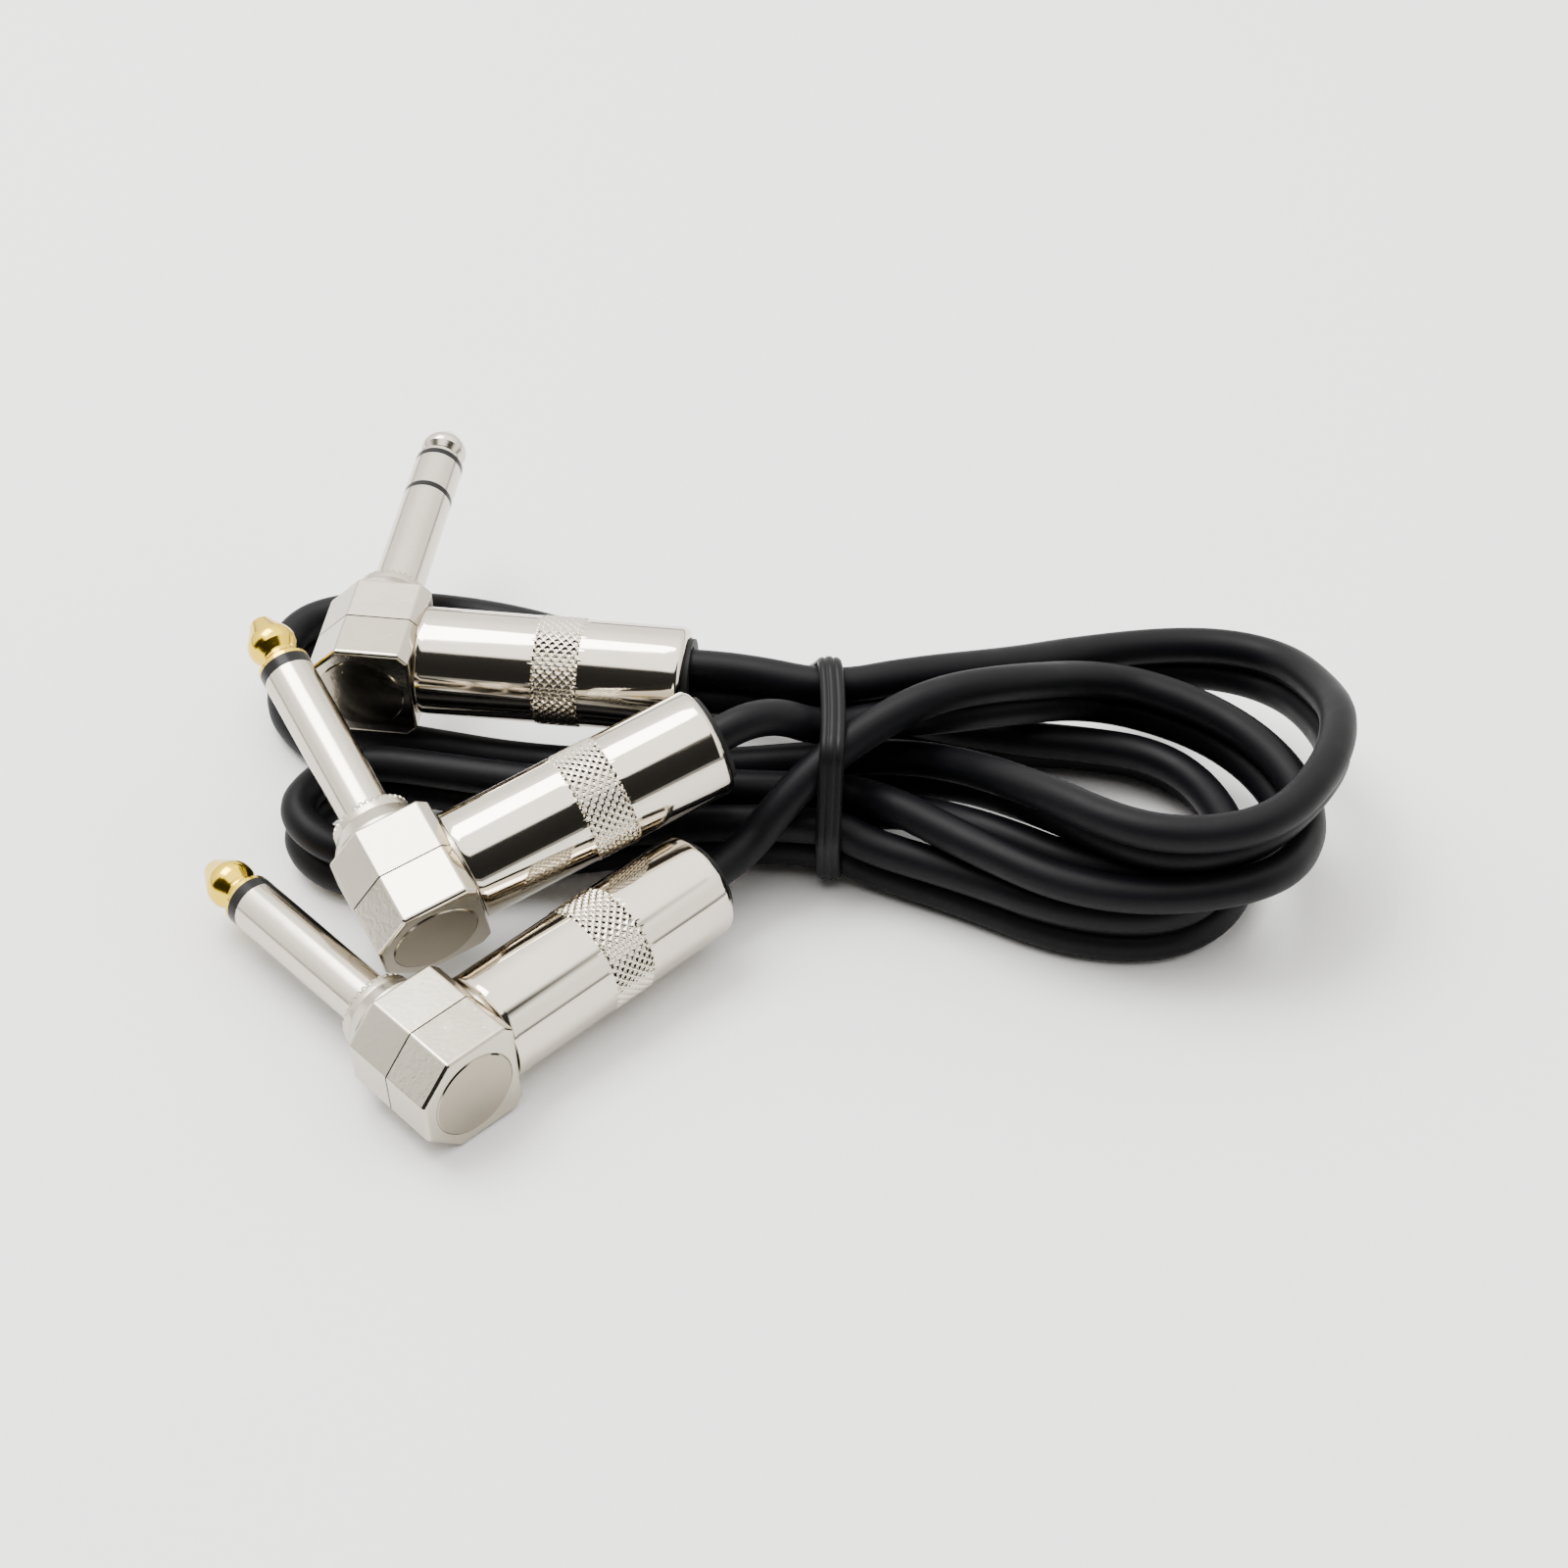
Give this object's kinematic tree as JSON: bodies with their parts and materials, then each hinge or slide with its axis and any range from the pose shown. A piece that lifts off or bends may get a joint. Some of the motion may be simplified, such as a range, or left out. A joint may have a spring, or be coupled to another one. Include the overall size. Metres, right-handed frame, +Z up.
{
  "type": "instrument cable",
  "caption": "Short twin-core instrument cable hanked and tied, with one stereo and two mono right-angle quarter-inch jack plugs.",
  "frame": {"origin": "on the floor under the middle of the box round the three plugs", "axes": "+Z up; +X along the hank, from the plugs to the far loops; the plugs' shafts point to -X and +Y"},
  "size_m": [0.1368, 0.111, 0.0269],
  "materials": {
    "cable_jacket": "satin black flexible PVC",
    "tie": "moulded black plastic",
    "cast_nickel": "satin nickel plate on a casting",
    "polished_nickel": "polished nickel plate",
    "shaft_nickel": "nickel plate on turned brass",
    "gold": "gold plate on turned brass",
    "insulator": "black moulded insulator",
    "lug": "tinned brass",
    "wire": "insulated conductor",
    "liner": "black insulating tube",
    "strain_relief": "black moulded strain relief"
  },
  "bodies": {
    "cable": {"cable_tie": "tie", "hank_lower": "cable_jacket", "hank_upper": "cable_jacket", "mono_high_collar": "cast_nickel", "mono_high_cover": "cast_nickel", "mono_high_elbow": "cast_nickel", "mono_high_end_disc": "cast_nickel", "mono_high_ground_lug": "lug", "mono_high_lead": "cable_jacket", "mono_high_sleeve": "shaft_nickel", "mono_high_tip": "gold", "mono_high_tip_insulator": "insulator", "mono_high_tip_lug": "lug", "mono_high_tip_wire": "wire", "mono_low_collar": "cast_nickel", "mono_low_cover": "cast_nickel", "mono_low_elbow": "cast_nickel", "mono_low_end_disc": "cast_nickel", "mono_low_ground_lug": "lug", "mono_low_lead": "cable_jacket", "mono_low_sleeve": "shaft_nickel", "mono_low_tip": "gold", "mono_low_tip_insulator": "insulator", "mono_low_tip_lug": "lug", "mono_low_tip_wire": "wire", "stereo_collar": "cast_nickel", "stereo_cover": "cast_nickel", "stereo_elbow": "cast_nickel", "stereo_end_disc": "cast_nickel", "stereo_ground_lug": "lug", "stereo_lead_lower": "cable_jacket", "stereo_lead_upper": "cable_jacket", "stereo_ring": "shaft_nickel", "stereo_ring_insulator": "insulator", "stereo_ring_lug": "lug", "stereo_ring_wire": "wire", "stereo_sleeve": "shaft_nickel", "stereo_tip": "shaft_nickel", "stereo_tip_insulator": "insulator", "stereo_tip_lug": "lug", "stereo_tip_wire": "wire"},
    "stereo_carrier": {"stereo_liner": "liner", "stereo_strain_relief": "strain_relief"},
    "stereo_barrel": {"stereo_barrel": "polished_nickel"},
    "mono_low_carrier": {"mono_low_liner": "liner", "mono_low_strain_relief": "strain_relief"},
    "mono_low_barrel": {"mono_low_barrel": "polished_nickel"},
    "mono_high_carrier": {"mono_high_liner": "liner", "mono_high_strain_relief": "strain_relief"},
    "mono_high_barrel": {"mono_high_barrel": "polished_nickel"}
  },
  "joints": [
    {"name": "stereo_carrier_slide", "type": "slide", "parent": "cable", "child": "stereo_carrier", "axis": [0.9919, -0.1271, 0], "range_m": [0, 0.003]},
    {"name": "stereo_barrel_screw", "type": "hinge", "parent": "stereo_carrier", "child": "stereo_barrel", "pos_m": [0.0064, 0.00969, 0.01713], "axis": [0.9919, -0.1271, 0], "range_deg": [0, 1080]},
    {"name": "mono_low_carrier_slide", "type": "slide", "parent": "cable", "child": "mono_low_carrier", "axis": [0.7259, 0.6864, 0.0436], "range_m": [0, 0.003]},
    {"name": "mono_low_barrel_screw", "type": "hinge", "parent": "mono_low_carrier", "child": "mono_low_barrel", "pos_m": [0.01328, -0.03234, 0.00758], "axis": [0.7259, 0.6864, 0.0436], "range_deg": [0, 1080]},
    {"name": "mono_high_carrier_slide", "type": "slide", "parent": "cable", "child": "mono_high_carrier", "axis": [0.8708, 0.4456, 0.2079], "range_m": [0, 0.003]},
    {"name": "mono_high_barrel_screw", "type": "hinge", "parent": "mono_high_carrier", "child": "mono_high_barrel", "pos_m": [0.01178, -0.01636, 0.01669], "axis": [0.8708, 0.4456, 0.2079], "range_deg": [0, 1080]}
  ],
  "couplings": [
    {"joint": "stereo_carrier_slide", "follows": "stereo_barrel_screw", "m_per_rad": 0.00015915},
    {"joint": "mono_low_carrier_slide", "follows": "mono_low_barrel_screw", "m_per_rad": 0.00015915},
    {"joint": "mono_high_carrier_slide", "follows": "mono_high_barrel_screw", "m_per_rad": 0.00015915}
  ]
}
